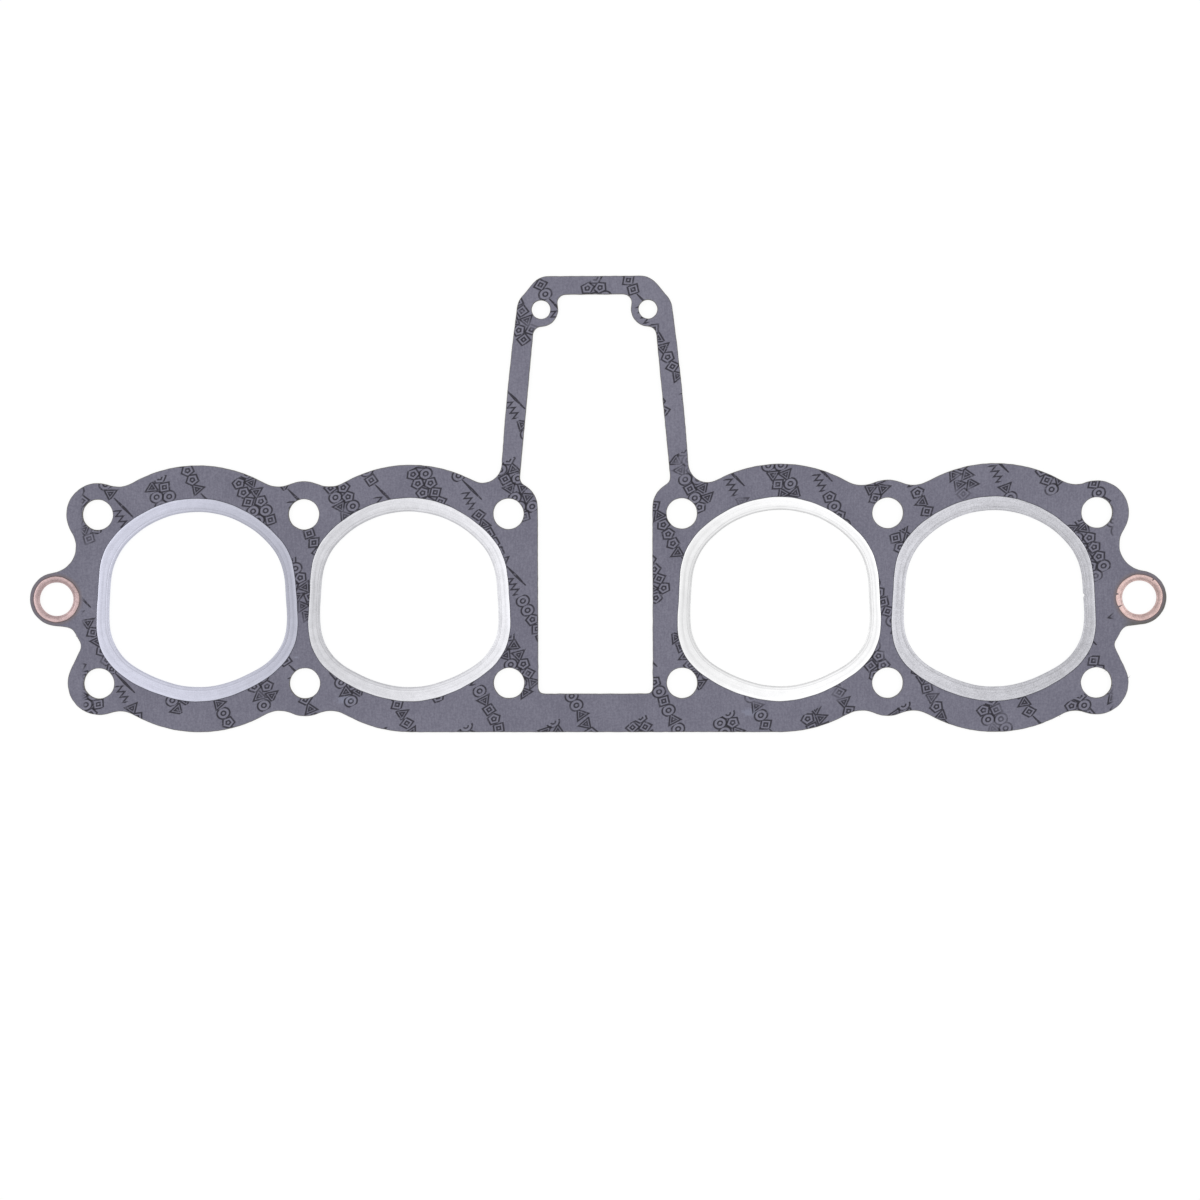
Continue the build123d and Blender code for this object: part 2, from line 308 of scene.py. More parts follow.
def print_group():
    """Ink of the slanting rows of figures, with a brushed stroke after each run."""
    tree, _, results = new_group("slanting_print", {}, "Ink")
    turn = tree.nodes.new("ShaderNodeVectorRotate")
    turn.rotation_type = "Z_AXIS"
    turn.inputs["Angle"].default_value = -math.radians(PRINT_SLANT)
    feed(tree, turn.inputs["Vector"], place_in_mm(tree))
    along, across, _ = split_place(tree, turn.outputs[0])
    lane = calc(tree, "FLOOR", calc(tree, "DIVIDE", across, LANE_PITCH))
    lane_middle = calc(tree, "MULTIPLY", calc(tree, "ADD", lane, 0.5), LANE_PITCH)
    across = calc(tree, "SUBTRACT", across, lane_middle)
    along = calc(tree, "MULTIPLY_ADD", lane, LANE_SHIFT, along)
    run = calc(tree, "FLOOR", calc(tree, "DIVIDE", along, RUN_PITCH))
    along = calc(tree, "SUBTRACT", along, calc(tree, "MULTIPLY", run, RUN_PITCH))
    doubled = calc(tree, "FLOORED_MODULO", lane, 2)
    figures = figure_group()
    inks = []
    # Each row has its own side of the lane, start along it and salt for its picks
    for row, start, salt in ((-SECOND_ROW / 2, 0.0, 0.0), (SECOND_ROW / 2, FIGURE_PITCH / 2, 7.0)):
        cell = calc(tree, "FLOOR", calc(tree, "DIVIDE", calc(tree, "ADD", along, start), FIGURE_PITCH))
        middle = calc(tree, "MULTIPLY_ADD", calc(tree, "ADD", cell, 0.5), FIGURE_PITCH, -start)
        seed = tree.nodes.new("ShaderNodeCombineXYZ")
        for socket, value in zip(seed.inputs, (cell, calc(tree, "ADD", lane, salt), run)):
            feed(tree, socket, value)
        pick = tree.nodes.new("ShaderNodeTexWhiteNoise")
        feed(tree, pick.inputs["Vector"], seed.outputs[0])
        way = calc(tree, "MULTIPLY", calc(tree, "SUBTRACT", along, middle), FIGURE_SQUASH)
        ink = use_group(tree, figures, along=way,
                        across=calc(tree, "SUBTRACT", across, row), pick=pick.outputs["Value"],
                        radius=FIGURE_RADIUS, line=FIGURE_LINE)
        from_middle = calc(tree, "ABSOLUTE", calc(tree, "SUBTRACT", cell, RUN_FIGURES / 2 - 0.5))
        in_run = calc(tree, "LESS_THAN", from_middle, RUN_FIGURES / 2)
        inks.append(calc(tree, "MULTIPLY", ink["Ink"], in_run))
    inks[1] = calc(tree, "MULTIPLY", inks[1], doubled)
    # A slash that swells in its middle, and a scribble beside its lower half
    way = calc(tree, "SUBTRACT", along, RUN_FIGURES * FIGURE_PITCH)
    slash_line = calc(tree, "MULTIPLY_ADD", way, SLASH["lean"], SLASH["aside"])
    thick = calc(tree, "MULTIPLY_ADD", calc(tree, "PINGPONG", way, SLASH["middle"]),
                 SLASH["swelling"], SLASH["thin"])
    off_slash = calc(tree, "ABSOLUTE", calc(tree, "SUBTRACT", across, slash_line))
    slash = calc(tree, "MULTIPLY", calc(tree, "LESS_THAN", off_slash, thick),
                 calc(tree, "COMPARE", way, SLASH["middle"], SLASH["reach"]))
    zigzag = calc(tree, "MULTIPLY_ADD", calc(tree, "PINGPONG", way, SCRIBBLE["zigzag"]),
                  SCRIBBLE["lean"], SCRIBBLE["aside"])
    off_zigzag = calc(tree, "ABSOLUTE", calc(tree, "SUBTRACT", across, zigzag))
    scribble = calc(tree, "MULTIPLY", fade(tree, off_zigzag, *SCRIBBLE["line"], 1, 0),
                    calc(tree, "COMPARE", way, SCRIBBLE["middle"], SCRIBBLE["reach"]))
    stroke = calc(tree, "MULTIPLY", calc(tree, "MAXIMUM", slash, scribble),
                  calc(tree, "SUBTRACT", 1, doubled))
    feed(tree, results["Ink"], calc(tree, "ADD", calc(tree, "ADD", *inks), stroke))
    return tree


def patch_group():
    """A ragged patch round a place, 1 in its middle and 0 outside."""
    tree, given, results = new_group("ragged_patch", {"X": 0, "Y": 0, "Long": 1, "Wide": 1}, "Patch")
    place = place_in_mm(tree)
    x, y, _ = split_place(tree, place)
    aside = calc(tree, "DIVIDE", calc(tree, "SUBTRACT", x, given["X"]), given["Long"])
    above = calc(tree, "DIVIDE", calc(tree, "SUBTRACT", y, given["Y"]), given["Wide"])
    rag = calc(tree, "MULTIPLY_ADD", speckle(tree, place, *PATCH_SPECKLE), PATCH_RAG, -PATCH_RAG / 2)
    ragged = calc(tree, "ADD", distance(tree, aside, above), rag)
    feed(tree, results["Patch"], fade(tree, ragged, *PATCH_FADE))
    return tree


def fibre_tone_with_painted_light(tree, y, grain, fleck, cloud):
    """Colour of the sheet, with painted light that makes it paler up the tunnel's frame."""
    tone = calc(tree, "ADD", fade(tree, grain, *GRAIN_TONE), fade(tree, cloud, *CLOUD_TONE))
    tone = calc(tree, "ADD", tone, fade(tree, fleck, *FLECK_TONE))
    # Painted light: the fibre is paler up the tunnel's frame
    tone = calc(tree, "ADD", tone, fade(tree, y, *TUNNEL_PAINTED_LIGHT))
    return blend_colours(tree, calc(tree, "ADD", MEAN_TONE, tone, clamp=True), FIBRE_COLOUR, FIBRE_PALE)


def scuffed(tree, colour):
    """A colour with the pale scuffs on it."""
    patch = patch_group()
    for x, y, length, width in SCUFFS:
        scuff = use_group(tree, patch, x=x, y=y, long=length, wide=width)["Patch"]
        colour = blend_colours(tree, calc(tree, "MULTIPLY", scuff, SCUFF_STRENGTH), colour, SCUFF_COLOUR)
    return colour


def ear_reflection_and_darkening(tree, colour, x, y, fleck):
    """A colour with a painted reflection of the copper on the fibre round both eyelets, and darker to the
    lower right of the right-hand one.
    """
    from_eyelet = distance(tree, calc(tree, "SUBTRACT", calc(tree, "ABSOLUTE", x), EAR_CENTRE), y)
    # Painted reflection: the copper's pinkish cast on the fibre round both eyelets
    reflected_copper = calc(tree, "MULTIPLY", fade(tree, from_eyelet, *REFLECTION_FADE), fade(tree, fleck, *REFLECTION_FLECKS))
    colour = blend_colours(tree, reflected_copper, colour, PAINTED_COPPER_REFLECTION)
    # The fibre is darker, in flecks, to the lower right of the right-hand eyelet
    outwards = calc(tree, "MULTIPLY_ADD", y, DARKER_WAY[1],
                    calc(tree, "MULTIPLY", calc(tree, "SUBTRACT", x, EAR_CENTRE), DARKER_WAY[0]))
    darker_side = calc(tree, "MULTIPLY", fade(tree, outwards, *DARKER_BEGINS), fade(tree, from_eyelet, *DARKER_INSIDE))
    darker_side = calc(tree, "MULTIPLY", darker_side, fade(tree, from_eyelet, *DARKER_OUTSIDE))
    darker_side = calc(tree, "MULTIPLY", darker_side, fade(tree, fleck, *DARKER_FLECKS))
    return blend_colours(tree, darker_side, colour, CUT_COLOUR)


def worn_print(tree, place, x, facing):
    """Ink of the print, worn in spots and stretches, on the upper face but not on the ears."""
    spots = fade(tree, speckle(tree, place, *WORN_SPOTS), *WORN_SPOT_FADE)
    stretches = fade(tree, speckle(tree, place, *WORN_STRETCHES), *WORN_STRETCH_FADE)
    past_ear = calc(tree, "SUBTRACT", calc(tree, "ABSOLUTE", x), EAR_CENTRE)
    worn = calc(tree, "MULTIPLY", calc(tree, "MULTIPLY", spots, stretches),
                fade(tree, past_ear, *PRINT_ENDS))
    ink = calc(tree, "MULTIPLY", use_group(tree, print_group())["Ink"], worn)
    return calc(tree, "MULTIPLY", ink, calc(tree, "GREATER_THAN", facing, LOOKS_UP))


def cut_edges(tree, colour, facing):
    """A colour with the browner layers of fibre where the sheet was cut."""
    cut = fade(tree, calc(tree, "ABSOLUTE", facing), *CUT_FADE)
    layers = speckle(tree, place_in_mm(tree, LAYER_STRETCH), *LAYERS)
    torn = blend_colours(tree, fade(tree, layers, *LAYER_FADE), CUT_COLOUR, TORN_COLOUR)
    return blend_colours(tree, calc(tree, "MULTIPLY", cut, CUT_STRENGTH), colour, torn)


def fibre_material():
    """Compressed fibre: print and scuffs above, browner where it is cut, with a painted reflection of the
    copper round the eyelets.
    """
    material = bpy.data.materials.new("fibre_sheet")
    material.use_nodes = True
    tree = material.node_tree
    shader = tree.nodes["Principled BSDF"]
    geometry = tree.nodes.new("ShaderNodeNewGeometry")
    facing = split_place(tree, geometry.outputs["Normal"])["Z"]
    place = place_in_mm(tree)
    x, y, _ = split_place(tree, place)
    grain = speckle(tree, place_in_mm(tree, GRAIN_STRETCH), *GRAIN)
    fleck = speckle(tree, place, *FLECKS)
    colour = fibre_tone_with_painted_light(tree, y, grain, fleck, speckle(tree, place, *CLOUDS))
    colour = ear_reflection_and_darkening(tree, scuffed(tree, colour), x, y, fleck)
    ink = worn_print(tree, place, x, facing)
    pale = calc(tree, "MULTIPLY", ink, -PALE_STRENGTH, clamp=True)
    black = calc(tree, "MULTIPLY", ink, INK_STRENGTH, clamp=True)
    colour = blend_colours(tree, black, blend_colours(tree, pale, colour, FIBRE_PALE), INK_COLOUR)
    tree.links.new(cut_edges(tree, colour, facing), shader.inputs["Base Color"])
    feed(tree, shader.inputs["Roughness"], fade(tree, ink, 0, 1, FIBRE_ROUGHNESS, INK_ROUGHNESS))
    shader.inputs["Specular IOR Level"].default_value = FIBRE_SPECULAR
    raise_surface(tree, shader, grain, GRAIN_DEPTH, GRAIN_RELIEF)
    return material


def set_material(piece, material):
    """Gives a piece one material in place of what it had."""
    piece.data.materials.clear()
    piece.data.materials.append(material)


def add_to_scene(name, data):
    """A new object in the scene that shows a mesh, or is a lamp or a camera."""
    thing = bpy.data.objects.new(name, data)
    bpy.context.scene.collection.objects.link(thing)
    return thing


def loose_fibre(shape, x, y, angle, length):
    """A hair of fibre that stands out of the cut edge, bent to one side."""
    rings = []
    middle = Vector((x, y, HAIR_HEIGHT))
    for step, radius in enumerate(HAIR_RADII):
        turn = math.radians(angle + HAIR_BEND * step)
        onwards = Vector((math.cos(turn), math.sin(turn), HAIR_RISE))
        middle = middle + onwards * (length / (len(HAIR_RADII) - 1) if rings else -HAIR_ROOT)
        side = Vector((-math.sin(turn), math.cos(turn), 0))
        corners = [middle + side * radius * math.cos(a) + Vector((0, 0, radius * math.sin(a)))
                   for a in (0, 2 * math.pi / 3, 4 * math.pi / 3)]
        rings.append([shape.verts.new(corner * MM) for corner in corners])
    for near, far in zip(rings, rings[1:]):
        for i in range(3):
            shape.faces.new((near[i], near[(i + 1) % 3], far[(i + 1) % 3], far[i]))
    shape.faces.new(rings[0][::-1])
    shape.faces.new(rings[-1])


def is_rim(edge):
    """Whether an edge lies between an upper face and another one."""
    return len({face.normal.z > LOOKS_UP for face in edge.link_faces}) == 2


def upper_outlines(node):
    """The closed outlines of a flat node's upper face, each a list of places in mm."""
    shape = bmesh.new()
    shape.from_mesh(node.data)
    shape.transform(Matrix.Scale(1 / MM, 4) @ node.matrix_world)
    bmesh.ops.remove_doubles(shape, verts=shape.verts, dist=SAME_POINT)
    rim = {edge: True for edge in shape.edges if is_rim(edge)}
    outlines = []
    while rim:
        edge = next(iter(rim))
        first, corner = edge.verts
        outline = [first.co.xy]
        while corner != first:
            rim.pop(edge)
            outline.append(corner.co.xy)
            edge = next(other for other in corner.link_edges if other in rim)
            corner = edge.other_vert(corner)
        rim.pop(edge)
        outlines.append(np.array(outline))
    shape.free()
    return outlines


def softened(outline, draw):
    """An outline in short even steps, with its facets rounded off and a rough cut."""
    closed = np.vstack((outline, outline[:1]))
    run = np.concatenate(([0], np.cumsum(np.hypot(*np.diff(closed, axis=0).T))))
    places = np.linspace(0, run[-1], int(run[-1] / EDGE_STEP), endpoint=False)
    even = np.column_stack([np.interp(places, run, closed[:, axis]) for axis in (0, 1)])
    even += draw.normal(0, EDGE_ROUGH, even.shape)
    for _ in range(EDGE_PASSES):
        even = 0.5 * even + 0.25 * (np.roll(even, 1, axis=0) + np.roll(even, -1, axis=0))
    return even


cutter = bpy.data.curves.new("die_cut_outlines", "CURVE")
cutter.dimensions = "2D"
cutter.fill_mode = "BOTH"
cutter.extrude = SHEET_HALF - EDGE_ROUND
cutter.bevel_depth = EDGE_ROUND
cutter.bevel_resolution = 2
cutter.offset = -EDGE_ROUND
draw = np.random.default_rng(EDGE_SEED)
for outline in upper_outlines(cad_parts["gasket_sheet"]):
    fine = softened(outline, draw)
    low, high = fine.min(axis=0), fine.max(axis=0)
    if BORE_SIZE[0] < high[0] - low[0] < BORE_SIZE[1]:
        fine = (low + high) / 2 + (fine - (low + high) / 2) * BORE_GROWTH
    spline = cutter.splines.new("POLY")
    spline.points.add(len(fine) - 1)
    points = np.column_stack((fine, np.zeros(len(fine)), np.ones(len(fine))))
    spline.points.foreach_set("co", points.ravel())
    spline.use_cyclic_u = True
cut_object = bpy.data.objects.new("die_cut_outlines", cutter)
sheet_mesh = bpy.data.meshes.new_from_object(cut_object)
bpy.data.objects.remove(cut_object)
shape = bmesh.new()
shape.from_mesh(sheet_mesh)
shape.transform(Matrix.Scale(MM, 4))
bmesh.ops.remove_doubles(shape, verts=shape.verts, dist=SAME_POINT * MM)
for x, y, angle, length in FIBRES:
    loose_fibre(shape, x, y, angle, length)
for face in shape.faces:
    face.smooth = True
for edge in shape.edges:
    edge.smooth = len({abs(face.normal.z) > FLAT for face in edge.link_faces}) == 1
shape.to_mesh(sheet_mesh)
shape.free()
sheet = add_to_scene("die_cut_sheet", sheet_mesh)
set_material(sheet, fibre_material())
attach(sheet, "root")
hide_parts("gasket_sheet")


# ----------------------------------------------------------------- fire rings
# Four strips of bright tinned steel, each folded round the edge of a bore and
# laid flat over both faces of the sheet. A crease runs where the fold ends,
# and the flanges are a little uneven and rubbed along their length.

# Both outlines, walked as outline_radius says: arcs are (radius, turn in degrees)
OPENING = {"reach": 32.6, "arcs": ((35.5, 20.4), (72.1, 9.9), (19.0, 62.8)),
           "side": 14.5, "last": (21.4, 37.2)}
FLANGE = {"reach": 38.6, "arcs": ((33.0, 10.0), (54.5, 28.6), (20.5, 55.1)),
          "side": 19.9, "last": (21.9, 37.6)}
ARC_STEPS = 60
RING_STEPS = 720
EASING = 18                # steps over which the arcs and the straight sides run into each other
STRIP_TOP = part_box("fire_ring_1")[1].z / MM      # half the height over both flanges
FOLD_RADIUS = 0.5
FOLD_ANGLES = range(0, 91, 10)
RING_METAL = 0.25          # thickness of the strips, and of the eyelets' copper
CREASE = 1.26              # from the hole's edge
WALL_SPREAD = 0.42         # the fold stands this much further out than drawn
CORNER_EASE = 0.28         # how much the flanges fall short at their corners
CORNER_EASE_RIGHT = 0.38   # and how much more they do at +X
CORNER_EASE_TOP = 0.22     # and at +Y
SIDE_EASE = 0.16           # and in the middle of their sides
FLAT_FROM = 0.8            # this far from the hole the strip is flat, and may have dents
LEAST_FLANGE = 0.8         # the flange reaches at least this far from the hole
OUTER_FACE = 0.1           # higher than this over the fibre, a point is on the strip's outer face
NICK = {"at": 0.027, "half_width": 0.016, "depth": 0.5}    # angles in radians
NICKED_RING = 4

# How uneven the strips are: waves to a round, and their size
HOLE_WAVES = ((7, 12, 19), 0.04)
FLANGE_WAVES = ((9, 14, 31), 0.07)
DENT_WAVES = ((11, 23, 37), 0.012)

FOLD_PAINTED_LIGHT = 1.1            # painted light: brightness of the strip down in the bore
UNDER_PAINTED_SHADE = 0.7           # and painted shade where it lies on the fibre
BRIGHTEST = 1.25           # most that a strip's painted brightness comes to
RING_ROUGHNESS = 0.36
RUB_ROUGHNESS = (0.6, 1.4, -0.05, 0.07)    # what the rubbed relief adds to it
RUB_MARKS = {"Streaks": (1.0, 3.0, 0.6), "Clouds": (0.3, 4.0, 0.65), "Specks": (2.2, 3.0, 0.7)}
RUB_FADE = (0.25, 0.75, -1, 1)
STREAK_STRETCH = (0.08, 0.08, 2.4)         # along the strip in X and Y, and across it
RUB_DEPTH = 0.012
RUB_RELIEF = 0.5

# Colour is each ring's steel, paler or darker by painted light. Lean is painted light: the brightness
# towards +X, +Y and the top and bottom. Rubbing is the strength of streaks, clouds and specks. Fold shade
# is painted shade where the fold meets the flange. The fold and the flange were laid this far to one side,
# in X and Y.
RING_LOOKS = (
    {"colour": (0.535, 0.542, 0.635), "lean": (-0.126, -0.04, 0.035), "rubbing": (0.05, 0.04, 0.08),
     "fold_shade": 0.22, "fold_laid": (-0.25, 0.0), "flange_laid": (-0.5, 0.2)},
    {"colour": (0.71, 0.71, 0.745), "lean": (0.16, 0.0, 0.0), "rubbing": (0.06, 0.06, 0.09),
     "fold_shade": 0.31, "fold_laid": (-0.6, -0.05), "flange_laid": (-0.5, 0.2)},
    {"colour": (0.88, 0.88, 0.888), "lean": (0.07, -0.01, 0.05), "rubbing": (0.04, 0.03, 0.04),
     "fold_shade": 0.38, "fold_laid": (-0.2, 0.2), "flange_laid": (-0.5, 0.2)},
    {"colour": (0.55, 0.55, 0.587), "lean": (-0.095, 0.02, -0.01), "rubbing": (0.09, 0.07, 0.2),
     "fold_shade": 0.14, "fold_laid": (-0.4, -0.05), "flange_laid": (-0.5, 0.2)})


def outline_radius(size, angles):
    """How far a bore outline lies from its centre at each angle.

    The outline is walked up the right-hand side from its lowest point along
    arcs, given as (radius, turn in degrees), a straight side and a last arc,
    and an arc over the top closes it.
    """
    x, y, heading = 0.0, -size["reach"], 0.0
    walk = [(x, y)]

    def go(length, turn):
        nonlocal x, y, heading
        for _ in range(ARC_STEPS):
            x += length / ARC_STEPS * math.cos(heading + turn / ARC_STEPS / 2)
            y += length / ARC_STEPS * math.sin(heading + turn / ARC_STEPS / 2)
            heading += turn / ARC_STEPS
            walk.append((x, y))

    for radius, turn in size["arcs"]:
        go(radius * math.radians(turn), math.radians(turn))
    go(size["side"], 0)
    radius, turn = size["last"]
    go(radius * math.radians(turn), math.radians(turn))
    left = math.pi - heading
    go(x / math.sin(left) * left, left)
    half = np.array(walk)
    far = np.hypot(half[:, 0], half[:, 1])
    folded = np.arctan2(np.sin(angles), np.abs(np.cos(angles)))
    radius = np.interp(folded, np.arctan2(half[:, 1], half[:, 0]), far)
    return np.mean([np.roll(radius, shift) for shift in range(-EASING, EASING + 1)], axis=0)


def laid(angles, shift):
    """How much further out a ring lies at each angle once it is shifted in X and Y."""
    return shift[0] * np.cos(angles) + shift[1] * np.sin(angles)


def uneven(angles, waves, size, seed):
    """A wandering value round a closed ring, up to about size."""
    draw = np.random.default_rng(seed)
    total = np.zeros_like(angles)
    for wave in waves:
        total += np.sin(wave * angles + draw.uniform(0, 2 * np.pi)) * draw.uniform(0.4, 1.0)
    return total * size / len(waves) ** 0.5


def notch(angles, at, half_width, depth):
    """How deep a short notch is at each angle, in radians: depth in its middle, 0 away from it."""
    away = (angles - at + np.pi) % (2 * np.pi) - np.pi
    return depth * np.exp(-np.abs(away / half_width) ** 3)


def ring_section(fold_shade):
    """Upper half of the strip's section, from the middle of the bore's wall outwards.

    Rows are (distance from the hole's edge, share of the flange's edge in that,
    height, painted brightness, more painted light on the left and right flanks).
    The fold darkens by fold_shade, painted shade, where it meets the flange.
    """
    rows = [(0, 0, 0, FOLD_PAINTED_LIGHT, 0)]
    for angle in FOLD_ANGLES:
        lift = math.radians(angle)
        out = FOLD_RADIUS * (1 - math.cos(lift))
        down = FOLD_RADIUS * (1 - math.sin(lift))
        rows.append((out, 0, STRIP_TOP - down, FOLD_PAINTED_LIGHT - fold_shade * math.sin(lift), 0))
    # The crease and the edge are (distance past it, depth, painted brightness, painted light on the
    # flanks), the flat between them (share, depth, painted light on the flanks), and the flange below
    # (distance, share, depth)
    # Painted shade darkens the crease's groove
    crease = ((-0.52, 0, 0.93, -0.02), (-0.32, 0, 0.96, -0.03), (-0.15, 0.01, 0.92, -0.02),
              (-0.05, 0.05, 0.86, -0.12), (0.05, 0.06, 0.85, -0.13), (0.16, 0.02, 0.93, -0.02),
              (0.32, 0, 0.98, 0))
    rows += [(CREASE + past, 0, STRIP_TOP - depth, tone, painted_flank_light) for past, depth, tone, painted_flank_light in crease]
    # Painted shade on the flanks darkens the flat's shallow dip
    flat = ((0.5, 0, 0.03), (0.57, 0, -0.05), (0.64, 0.02, -0.12), (0.76, 0, 0))
    rows += [(0, share, STRIP_TOP - depth, 1, painted_flank_light) for share, depth, painted_flank_light in flat]
    # A painted highlight brightens the lip, and painted shade darkens its side down to the fibre
    edge = ((-0.45, 0, 1.02, 0.05), (-0.2, 0, 1.04, 0.06), (-0.07, 0.02, 1.04, 0),
            (0, 0.07, 0.8, 0), (0.09, 0.13, 0.3, 0))
    rows += [(past, 1, STRIP_TOP - depth, tone, painted_flank_light) for past, depth, tone, painted_flank_light in edge]
    # A dark skirt laid on the fibre just past the flange's edge: the flange's painted shadow
    rows += [(0.2, 1, SHEET_HALF + 0.01, 0.15, 0), (0.1, 1, SHEET_HALF, 0.2, 0)]
    under = ((-0.6, 1, 0), (0, 0.5, 0), (0.75, 0, 0), (0.45, 0, 0.1), (0.29, 0, 0.3))
    rows += [(past, share, SHEET_HALF - depth, UNDER_PAINTED_SHADE, 0) for past, share, depth in under]
    return rows + [(RING_METAL, 0, 0, UNDER_PAINTED_SHADE, 0)]


def strip_piece(name, centre, hole, flange, section, lean, dents):
    """A closed strip whose hole and flange edges are given by their radii at each angle.

    Each point keeps its painted brightness, which paints its light and shade, and its place along and
    across the strip.
    """
    rows = [(d, s, -z, b, f) for d, s, z, b, f in reversed(section[1:-1])] + section
    steps = len(hole)
    angles = np.linspace(0, 2 * np.pi, steps, endpoint=False)
    vertices, painted_brightness, place = [], [], []
    for i, angle in enumerate(angles):
        cosine, sine = math.cos(angle), math.sin(angle)
        # Painted light: brighter towards one side, by the lean
        painted_side_light = 1 + lean[0] * cosine + lean[1] * sine + lean[2] * (sine ** 2 - cosine ** 2)
        for distance, share, height, tone, painted_flank_light in rows:
            radius = hole[i] * (1 - share) + flange[i] * share + distance
            radius = max(radius, hole[i] + LEAST_FLANGE * share)
            out = radius - hole[i]
            if abs(height) > SHEET_HALF + OUTER_FACE and out > FLAT_FROM:
                height += math.copysign(dents[i], height)
            vertices.append(((centre + radius * cosine) * MM, radius * sine * MM, height * MM))
            painted_brightness.append((tone + painted_flank_light * cosine ** 2) * painted_side_light)
            place.append((cosine * hole[i], sine * hole[i], out))
    count = len(rows)
    faces = []
    for i in range(steps):
        here, onwards = i * count, (i + 1) % steps * count
        for k in range(count):
            above = (k + 1) % count
            faces.append((here + k, onwards + k, onwards + above, here + above))
    mesh = bpy.data.meshes.new(name)
    mesh.from_pydata(vertices, [], faces)
    mesh.attributes.new("painted_brightness", "FLOAT", "POINT").data.foreach_set("value", painted_brightness)
    places = mesh.attributes.new("strip_place", "FLOAT_VECTOR", "POINT")
    places.data.foreach_set("vector", np.ravel(place))
    mesh.shade_smooth()
    return add_to_scene(name, mesh)


def rubbed_group():
    """Rubbing of a strip: long streaks, clouds and fine specks, each of its own strength.

    Tone is the brightness to multiply by, and Relief the height of the rubbed surface.
    """
    tree, given, results = new_group(
        "rubbed_strip", {"Streaks": 0.1, "Clouds": 0.1, "Specks": 0.1}, "Tone", "Relief")
    strip_place = tree.nodes.new("ShaderNodeAttribute")
    strip_place.attribute_name = "strip_place"
    stretch = tree.nodes.new("ShaderNodeMapping")
    stretch.inputs["Scale"].default_value = STREAK_STRETCH
    tree.links.new(strip_place.outputs["Vector"], stretch.inputs["Vector"])
    place = place_in_mm(tree)
    marks = {kind: speckle(tree, stretch.outputs[0] if kind == "Streaks" else place, *look)
             for kind, look in RUB_MARKS.items()}
    tone = 1
    for kind, mark in marks.items():
        tone = calc(tree, "MULTIPLY_ADD", fade(tree, mark, *RUB_FADE), given[kind], tone)
    feed(tree, results["Tone"], tone)
    feed(tree, results["Relief"], calc(tree, "ADD", marks["Streaks"], marks["Specks"]))
    return tree


def strip_material(name, colour, rubbed, strengths, roughness):
    """Bright strip, with painted light and shade taken from its points, rubbed with these strengths of
    streaks, clouds and specks.
    """
    material = bpy.data.materials.new(name)
    material.use_nodes = True
    tree = material.node_tree
    shader = tree.nodes["Principled BSDF"]
    # The painted light and shade kept in each point
    painted_brightness = tree.nodes.new("ShaderNodeAttribute")
    painted_brightness.attribute_name = "painted_brightness"
    streaks, clouds, specks = strengths
    rubbing = use_group(tree, rubbed, streaks=streaks, clouds=clouds, specks=specks)
    tone = calc(tree, "MULTIPLY", painted_brightness.outputs["Fac"], rubbing["Tone"])
    share = calc(tree, "DIVIDE", tone, BRIGHTEST, clamp=True)
    full = tuple(BRIGHTEST * c for c in colour) + (1,)
    tree.links.new(blend_colours(tree, share, (0, 0, 0, 1), full), shader.inputs["Base Color"])
    low, high, less, more = RUB_ROUGHNESS
    rough = fade(tree, rubbing["Relief"], low, high, roughness + less, roughness + more)
    feed(tree, shader.inputs["Roughness"], rough)
    shader.inputs["Metallic"].default_value = 1.0
    raise_surface(tree, shader, rubbing["Relief"], RUB_DEPTH, RUB_RELIEF)
    return material


rubbed = rubbed_group()
around = np.linspace(0, 2 * np.pi, RING_STEPS, endpoint=False)
corners = np.sin(2 * around) ** 2
sides = (np.cos(around) * np.cos(2 * around)) ** 2
for number, looks in enumerate(RING_LOOKS, start=1):
    hole = outline_radius(OPENING, around) + WALL_SPREAD + laid(around, looks["fold_laid"])
    hole += uneven(around, *HOLE_WAVES, number + 20)
    flange = outline_radius(FLANGE, around) + laid(around, looks["flange_laid"])
    short = CORNER_EASE + CORNER_EASE_RIGHT * np.cos(around) + CORNER_EASE_TOP * np.sin(around)
    flange -= short * corners + SIDE_EASE * sides
    flange += uneven(around, *FLANGE_WAVES, number)
    if number == NICKED_RING:
        hole += notch(around, **NICK)
    dents = uneven(around, *DENT_WAVES, number + 40)
    ring = strip_piece(f"folded_ring_{number}", middle_x(f"fire_ring_{number}"), hole, flange,
                       ring_section(looks["fold_shade"]), looks["lean"], dents)
    set_material(ring, strip_material(f"ring_steel_{number}", looks["colour"], rubbed,
                                      looks["rubbing"], RING_ROUGHNESS))
    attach(ring, "root")
    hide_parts(f"fire_ring_{number}")


# ---------------------------------------------------------------- oil eyelets
# Two copper eyelets, pushed through the oil holes of the end ears and spread
# over the fibre by a punch. Their flanges are domed and wavy, and the
# right-hand one has split in from its edge in three places.

EYELET_HOLE = 6.3
EYELET_EDGE = 8.65
EYELET_STEPS = 480
EYELET_HOLE_WAVES = ((2, 3, 6), 0.04)
EYELET_EDGE_WAVES = ((3, 5, 8, 13), 0.09)
EYELET_DENT_WAVES = ((4, 7, 15), 0.02)
SPLIT_HALF_WIDTH = 0.026   # in radians
COPPER_RUBBING = (0.12, 0.14, 0.24)
COPPER_ROUGHNESS = 0.33

# Splits are (angle in degrees, depth), and lean is painted light as on the rings
EYELET_LOOKS = (
    {"side": "left", "colour": (0.52, 0.385, 0.385), "lean": (-0.05, -0.03, 0), "splits": (), "seed": 11},
    {"side": "right", "colour": (0.62, 0.452, 0.43), "lean": (-0.1, 0.02, 0),
     "splits": ((170.9, 0.75), (204.0, 1.45), (53.0, 0.85)), "seed": 12})


